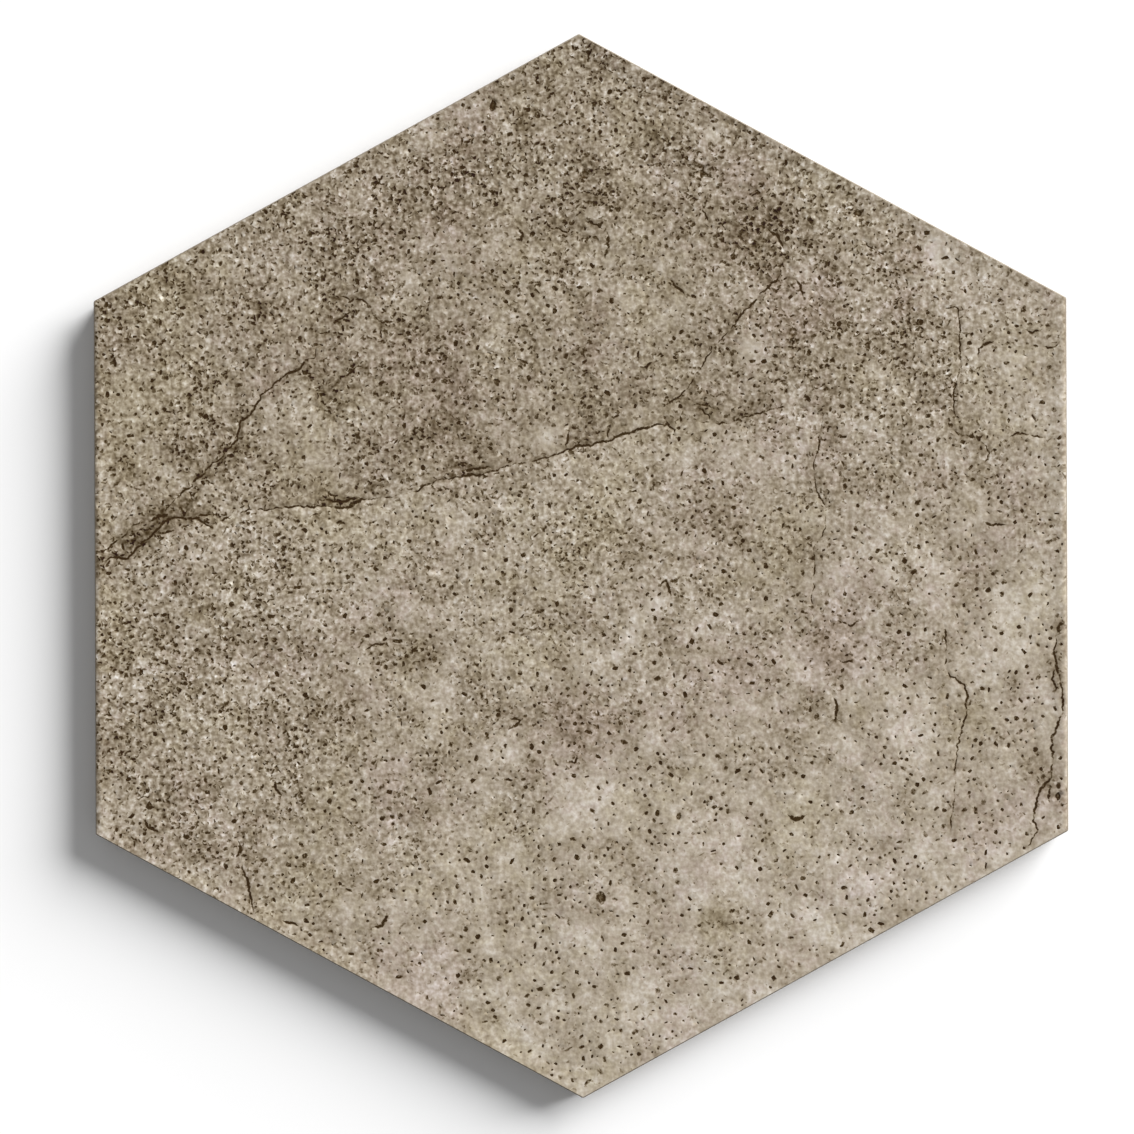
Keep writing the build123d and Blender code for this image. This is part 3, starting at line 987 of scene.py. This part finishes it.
def busy_share(x, y):
    """How dense the flecks and pits are: 1 at the upper left and 0 at the lower right."""
    half = TILE_WIDTH / 2
    share = BUSY_CENTRE + BUSY_RIGHT * x / half + BUSY_UP * y / half + stain_sum(BUSY_PARTS, x, y)
    return np.clip(share, 0.0, 1.0)


def smudge_share(x, y):
    """How strongly the brown smudges cover places of the face."""
    share = np.zeros_like(x)
    for px, py, length, width, turn, strength in SMUDGES:
        cx, cy = on_face(px, py)
        turn = math.radians(turn)
        along = ((x - cx) * math.cos(turn) + (y - cy) * math.sin(turn)) / (length * PIXEL)
        across = ((y - cy) * math.cos(turn) - (x - cx) * math.sin(turn)) / (width * PIXEL)
        share += strength * np.exp(-(along ** 2 + across ** 2))
    return np.minimum(share, 1.0)


def print_tone(x, y):
    """Broad tone of the print, from 0 to 1 over or under the middle."""
    half = TILE_WIDTH / 2
    slope = SLOPE_RIGHT * x / half + SLOPE_UP * y / half
    crack_x, crack_y = on_face(*zip(*(MAIN_CRACK_PX + MAIN_CRACK_END_PX)))
    over_crack = y - np.interp(x, crack_x, crack_y)
    beside = np.clip((on_face(*CRACK_TONE_END_PX)[0] - x) / CRACK_TONE_FADE, 0.0, 1.0)
    above = ABOVE_CRACK[0] * np.exp(-np.abs(over_crack) / ABOVE_CRACK[1]) * (over_crack > 0)
    below = BELOW_CRACK[0] * np.exp(-np.abs(over_crack) / BELOW_CRACK[1]) * (over_crack <= 0)
    stains = stain_sum(PALE_STAINS, x, y) - stain_sum(DARK_STAINS, x, y) + spot_sum(x, y)
    return (slope + (above + below) * beside + stains) / GREY_LEVELS


def crack_smudge(line, x, y):
    """Darkening beside the cracks, uneven along them."""
    tree = KDTree(len(line))
    for index, (cx, cy, _) in enumerate(line):
        tree.insert((cx, cy, 0.0), index)
    tree.balance()
    smudge = np.zeros_like(x)
    for index, (px, py) in enumerate(zip(x, y)):
        _, nearest, gap = tree.find((px, py, 0.0))
        if gap < CRACK_SMUDGE_LIMIT:
            uneven = max(0.0, 0.5 + 1.1 * wander(px, py, CRACK_SMUDGE_SIZE, CRACK_SMUDGE_SEED))
            fall = math.exp(-((gap / CRACK_SMUDGE_REACH) ** 2))
            smudge[index] = CRACK_SMUDGE * line[nearest][2] * uneven * fall
    return smudge


def open_rim(bm, sizes):
    """Takes the flat top off the solid, divides its edges, and returns its corners and its rim."""
    top = [f for f in bm.faces if f.normal.z > LEVEL and f.calc_center_median().z > FACE_HEIGHT / 2]
    bmesh.ops.delete(bm, geom=top, context="FACES")
    rim = [e for e in bm.edges if e.is_boundary]
    corners = [v.co.copy() for v in ordered_loop(rim)]
    for edge in rim:
        cuts = round(edge.calc_length() / sizes.face_spacing) - 1
        bmesh.ops.subdivide_edges(bm, edges=[edge], cuts=cuts)
    return corners, ordered_loop([e for e in bm.edges if e.is_boundary])


def ordered_loop(edges):
    """Vertices of a closed loop of edges, counter-clockwise seen from above."""
    start = edges[0]
    loop = [start.verts[0], start.verts[1]]
    left = set(edges) - {start}
    while left:
        following = next(e for e in loop[-1].link_edges if e in left)
        left.discard(following)
        loop.append(following.other_vert(loop[-1]))
    loop.pop()
    places = [v.co for v in loop]
    area = sum(a.x * b.y - b.x * a.y for a, b in zip(places, places[1:] + places[:1]))
    return loop if area > 0 else loop[::-1]


def face_mesh(sizes):
    """The tile as one closed mesh, with points on its face for every pit and crack, still flat."""
    bm = bmesh.new()
    bm.from_mesh(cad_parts["tile"].data)
    bmesh.ops.remove_doubles(bm, verts=bm.verts, dist=MERGE)
    pit_layer = bm.verts.layers.float.new("pit")
    crack_layer = bm.verts.layers.float.new("crack")
    floor_layer = bm.verts.layers.float.new("floor")
    printed_layer = bm.faces.layers.float.new("printed")
    dark_layer = bm.loops.layers.float.new("dark")
    corners, rim = open_rim(bm, sizes)
    plan = FacePlan([v.co for v in rim], Outline(corners), sizes)
    for route, width, strength in CRACKS:
        plan.lay_crack(route, width * MM, strength)
    plan.lay_seen_pits()
    plan.scatter_pits()
    plan.lay_plain_points()
    places, faces, origins = plan.triangles()

    verts = []
    for place, origin in zip(places, origins):
        first = origin[0]
        if first < plan.rim_count:
            verts.append(rim[first])
            continue
        vert = bm.verts.new((place.x * MM, place.y * MM, FACE_HEIGHT))
        vert[pit_layer] = plan.pit[first]
        vert[crack_layer] = plan.crack[first]
        vert[floor_layer] = plan.floor[first]
        verts.append(vert)
    for face in faces:
        made = bm.faces.new([verts[i] for i in face])
        made[printed_layer] = 1.0
        made.smooth = True
        deepest = max(vert[pit_layer] for vert in made.verts)
        for loop in made.loops:
            loop[dark_layer] = deepest if loop.vert[pit_layer] > 0 else deepest * RIM_SHARE
    bm.normal_update()
    mesh = bpy.data.meshes.new("fired_tile")
    bm.to_mesh(mesh)
    bm.free()
    add_print_layers(mesh, plan)
    return mesh


def values_of(parts, name, width=1, kind=float):
    """One property of all a mesh's parts, as one row for each of its numbers."""
    values = np.empty(len(parts) * width, kind)
    parts.foreach_get(name, values)
    return values.reshape(-1, width).T


def add_print_layers(mesh, plan):
    """Stores at each point the tone, tint and busyness of the print, and how calm its relief is."""
    x, y, z = values_of(mesh.vertices, "co", 3)
    on_top = z > FACE_HEIGHT - TOP_WITHIN
    inward = np.clip(plan.outline.depth(x, y) / plan.sizes.edge_calm, 0.0, 1.0)
    smudge = np.minimum(smudge_share(x, y) + crack_smudge(plan.crack_line, x, y), 1.0)
    crowd = np.array([crowding(px, py) for px, py in zip(x, y)])
    stained = stain_sum(DARK_STAINS, x, y) / DARK_BUSY_LEVELS
    cleared = stain_sum(PALE_STAINS, x, y) / PALE_BUSY_LEVELS
    layers = {
        "tone": print_tone(x, y) - SMUDGE_TONE * smudge - CROWD_TONE * crowd,
        "tint": stain_sum(PINK_STAINS, x, y) - stain_sum(OLIVE_STAINS, x, y),
        "busy": busy_share(x, y) - cleared + stained + CROWD_BUSY * crowd,
        "smudge": smudge,
        "calm": np.minimum(spot_sum(x, y) / CALM_LEVELS, 1.0),
        "relief": np.where(on_top, inward * inward * (3 - 2 * inward), 0.0),
    }
    for name, values in layers.items():
        mesh.attributes.new(name, "FLOAT", "POINT").data.foreach_set("value", values.astype(np.float32))


def relief_tree():
    """Geometry Nodes tree that presses the waves, grain, pits and cracks into the flat face."""
    tree = bpy.data.node_groups.new("Pressed face", "GeometryNodeTree")
    cloud_inputs = [f"{cloud} {part}" for cloud in CLOUDS for part in ("Size", "Strength")]
    tree.interface.new_socket("Geometry", in_out="INPUT", socket_type="NodeSocketGeometry")
    for name in (*TREE_SIZES, *cloud_inputs):
        tree.interface.new_socket(name, in_out="INPUT", socket_type="NodeSocketFloat")
    tree.interface.new_socket("Material", in_out="INPUT", socket_type="NodeSocketMaterial")
    tree.interface.new_socket("Geometry", in_out="OUTPUT", socket_type="NodeSocketGeometry")
    given = tree.nodes.new("NodeGroupInput")

    def value(name):
        return Field(tree, given.outputs[name])

    def layer(name):
        settings = {"data_type": "FLOAT"}
        return add_node(tree, "GeometryNodeInputNamedAttribute", settings, {"Name": name}, "Attribute")

    def noise_of(size, apart, detail, roughness):
        values = {"Scale": 1.0 / size, "W": value("Seed") + apart, "Detail": detail, "Roughness": roughness}
        return add_node(tree, "ShaderNodeTexNoise", {"noise_dimensions": "4D"}, values)

    def hollows(name, apart):
        unevenness = noise_of(value(f"{name} Size"), apart, 2.0, 0.5).step(0.3, 0.7)
        return unevenness * value(f"{name} Height")

    def cloud(name, apart, detail=2.0):
        return (noise_of(value(f"{name} Size"), apart, detail, 0.6) - 0.5) * value(f"{name} Strength")

    def stored(geometry, name, field):
        settings = {"data_type": "FLOAT", "domain": "POINT"}
        values = {"Geometry": geometry, "Name": name, "Value": field}
        return add_node(tree, "GeometryNodeStoreNamedAttribute", settings, values)

    hollow = layer("pit") * value("Pit Depth") + layer("crack") * value("Crack Depth")
    sink = (hollows("Wave", 0.0) + hollows("Grain", 10.0)) * layer("relief") + hollow
    offset = add_node(tree, "ShaderNodeCombineXYZ", {}, {"Z": -sink})
    busy = layer("busy") + cloud("Busyness", 40.0)
    tone = layer("tone") + cloud("Broad Tone", 20.0) + cloud("Fine Tone", 30.0, detail=3.0)
    geometry = stored(value("Geometry"), "tone", tone)
    geometry = stored(geometry, "busy", busy.at_least(0.0))
    geometry = stored(geometry, "tint", layer("tint") + cloud("Tint", 50.0))
    pressed = add_node(tree, "GeometryNodeSetPosition", {}, {"Geometry": geometry, "Offset": offset})
    whole = add_node(tree, "GeometryNodeRealizeInstances", {}, {"Geometry": pressed})
    surfaced = {"Geometry": whole, "Material": value("Material")}
    finished = add_node(tree, "GeometryNodeSetMaterial", {}, surfaced)
    add_node(tree, "NodeGroupOutput", {}, {"Geometry": finished})
    return tree


def tree_values(sizes, material):
    """Values for the named inputs of the relief's tree."""
    values = {name: float(getattr(sizes, name.lower().replace(" ", "_"))) for name in TREE_SIZES}
    for cloud, (size, strength) in CLOUDS.items():
        values[f"{cloud} Size"] = size
        values[f"{cloud} Strength"] = strength
    return {**values, "Material": material}


def set_inputs(modifier, values):
    """Sets the inputs of a nodes modifier, found by their sockets' identifiers."""
    for item in modifier.node_group.interface.items_tree:
        if item.in_out == "INPUT" and item.name in values:
            modifier[item.identifier] = values[item.name]


def plain_object(name, mesh, tree, values):
    """Object whose mesh is what a nodes tree makes of the given mesh, with no modifier left."""
    rough = bpy.data.objects.new(name + "_rough", mesh)
    bpy.context.collection.objects.link(rough)
    modifier = rough.modifiers.new("Pressed face", "NODES")
    modifier.node_group = tree
    set_inputs(modifier, values)
    depsgraph = bpy.context.evaluated_depsgraph_get()
    evaluated = rough.evaluated_get(depsgraph)
    made = bpy.data.meshes.new_from_object(evaluated, preserve_all_data_layers=True, depsgraph=depsgraph)
    bpy.data.objects.remove(rough)
    made.name = name
    made.set_sharp_from_angle(angle=RIM_ANGLE)
    piece = bpy.data.objects.new(name, made)
    bpy.context.collection.objects.link(piece)
    return piece


def unwrap(mesh):
    """Lays the face, the six sides and the back flat on the map that the bake uses."""
    corners = values_of(mesh.loops, "vertex_index", kind=int)[0]
    counts = values_of(mesh.polygons, "loop_total", kind=int)[0]
    normal_x, normal_y, normal_z = np.repeat(values_of(mesh.polygons, "normal", 3), counts, axis=1)
    x, y, z = values_of(mesh.vertices, "co", 3)[:, corners]

    # The face fills the left of the map, and is a little less high than the map
    height = TILE_HIGH.y - TILE_LOW.y
    scale = (1.0 - 2 * MAP_MARGIN) / height
    u = MAP_MARGIN + (x - TILE_LOW.x) * scale
    v = MAP_MARGIN + (y - TILE_LOW.y) * scale

    # The sides stand in two columns at the right, three to a column
    slant = math.atan2(TILE_WIDTH / 2, height / 4)
    facings = [0.0, slant, math.pi - slant, math.pi, math.pi + slant, -slant]
    bearing = np.arctan2(normal_y, normal_x)
    turns = [np.abs((bearing - facing + math.pi) % (2 * math.pi) - math.pi) for facing in facings]
    nearest = np.argmin(turns, axis=0)
    upright = (normal_z > SIDE_TILTS[0]) & (normal_z < SIDE_TILTS[1]) & on_side(x, y)
    for index, facing in enumerate(facings):
        this = upright & (nearest == index)
        along = y * math.cos(facing) - x * math.sin(facing)
        u = np.where(this, SIDE_COLUMNS[0] + index % 2 * SIDE_COLUMNS[1] + z * SIDE_SCALE * scale, u)
        v = np.where(this, SIDE_ROWS[0] + index // 2 * SIDE_ROWS[1] + along * SIDE_SCALE * scale, v)

    # The back is small, in the corner that the face leaves free
    under = (normal_z < SIDE_TILTS[1]) & ~upright
    u = np.where(under, MAP_MARGIN + (x - TILE_LOW.x) * BACK_SCALE * scale, u)
    v = np.where(under, 1.0 - MAP_MARGIN - (TILE_HIGH.y - y) * BACK_SCALE * scale, v)
    layer = mesh.uv_layers.new(name="OFBake")
    layer.data.foreach_set("uv", np.stack([u, v], 1).ravel().astype(np.float32))


def on_side(x, y):
    """Whether a corner is on the outer wall of the tile and not in a recess of its back."""
    half, height = TILE_WIDTH / 2, TILE_HIGH.y - TILE_LOW.y
    drop = height / 4
    to_slant = (half * (height / 2 - np.abs(y)) - drop * np.abs(x)) / math.hypot(half, drop)
    return np.minimum(half - np.abs(x), to_slant) < SIDE_BAND


class OBJECT_OT_stone_tile(bpy.types.Operator):
    """Makes the tile with its pitted stone face and keyed back"""

    bl_idname = "object.stone_tile"
    bl_label = "Stone Tile"

    def execute(self, context):
        sizes = context.scene.tile_sizes
        material = fired_stone(context.scene.tile_colours)
        tile = plain_object("fired_tile", face_mesh(sizes), relief_tree(), tree_values(sizes, material))
        if len(tile.data.polygons) == 0:
            raise RuntimeError("the pressed face came out empty")
        unwrap(tile.data)
        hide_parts("tile")
        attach(tile, "root")
        return {"FINISHED"}


class SCENE_OT_tile_stage(bpy.types.Operator):
    """Makes the pale floor, the soft light and the camera over the tile"""

    bl_idname = "scene.tile_stage"
    bl_label = "Floor, Light and Camera"

    def execute(self, context):
        look = context.scene.stage_look
        lay_floor(look)
        light_stage(context.scene, look)
        aim_camera(context.scene, look)
        return {"FINISHED"}


def lay_floor(look):
    """Plain pale floor under the tile."""
    reach = look.floor_reach
    mesh = bpy.data.meshes.new("pale_floor")
    level = TILE_LOW.z
    corners = [(-reach, -reach, level), (reach, -reach, level), (reach, reach, level), (-reach, reach, level)]
    mesh.from_pydata(corners, [], [(0, 1, 2, 3)])
    paint = Material("pale_floor")
    rough = paint.noise(FLOOR_CLOUD, shift=0.3)
    tone = paint.mix(rough + 0.5, (*look.floor, 1.0), (*(FLOOR_FADE * part for part in look.floor), 1.0))
    mesh.materials.append(paint.finish(tone, FLOOR_ROUGHNESS, rough, FLOOR_BUMP, FLOOR_SPECULAR))
    floor = bpy.data.objects.new("pale_floor", mesh)
    bpy.context.collection.objects.link(floor)


def light_stage(scene, look):
    """A wide soft light from the upper right and an even fill."""
    key = bpy.data.lights.new("soft_key", "SUN")
    key.energy = look.key_strength
    key.angle = look.key_softness
    lamp = bpy.data.objects.new("soft_key", key)
    lamp.rotation_euler = (0.0, math.pi / 2 - look.key_rise, look.key_bearing)
    bpy.context.collection.objects.link(lamp)
    world = bpy.data.worlds.new("even_fill")
    world.use_nodes = True
    background = world.node_tree.nodes["Background"]
    background.inputs["Color"].default_value = (1.0, 1.0, 1.0, 1.0)
    background.inputs["Strength"].default_value = look.fill_strength
    scene.world = world
    scene.view_settings.view_transform = "Standard"


def aim_camera(scene, look):
    """Camera straight above the face, at the photograph's framing."""
    data = bpy.data.cameras.new("camera")
    data.lens = look.lens
    data.dof.use_dof = False
    frame_width = PHOTO_SIDE_PX * PIXEL
    distance = frame_width * data.lens / data.sensor_width
    camera = bpy.data.objects.new("camera", data)
    x, y = on_face(PHOTO_SIDE_PX / 2, PHOTO_SIDE_PX / 2)
    camera.location = (x, y, FACE_HEIGHT + distance)
    camera.rotation_euler = (0.0, 0.0, -math.radians(TILE_TURN_DEG))
    bpy.context.collection.objects.link(camera)
    scene.camera = camera


class VIEW3D_PT_stone_tile(bpy.types.Panel):
    """Lists the tile's sizes, colours and pieces in the sidebar"""

    bl_label = "Stone Tile"
    bl_idname = "VIEW3D_PT_stone_tile"
    bl_space_type = "VIEW_3D"
    bl_region_type = "UI"
    bl_category = "Tile"

    def draw(self, context):
        layout = self.layout
        for group in (context.scene.tile_sizes, context.scene.tile_colours, context.scene.stage_look):
            box = layout.box()
            for name in group.__annotations__:
                box.prop(group, name)
        layout.operator(OBJECT_OT_stone_tile.bl_idname)
        layout.operator(SCENE_OT_tile_stage.bl_idname)


CLASSES = (
    TileSizes,
    TileColours,
    StageLook,
    OBJECT_OT_stone_tile,
    SCENE_OT_tile_stage,
    VIEW3D_PT_stone_tile,
)


def register():
    for cls in CLASSES:
        bpy.utils.register_class(cls)
    bpy.types.Scene.tile_sizes = bpy.props.PointerProperty(type=TileSizes)
    bpy.types.Scene.tile_colours = bpy.props.PointerProperty(type=TileColours)
    bpy.types.Scene.stage_look = bpy.props.PointerProperty(type=StageLook)


def unregister():
    del bpy.types.Scene.stage_look
    del bpy.types.Scene.tile_colours
    del bpy.types.Scene.tile_sizes
    for cls in reversed(CLASSES):
        bpy.utils.unregister_class(cls)


def main():
    """Makes the pieces in order."""
    register()
    bpy.ops.object.stone_tile()
    bpy.ops.scene.tile_stage()


if __name__ == "__main__":
    main()
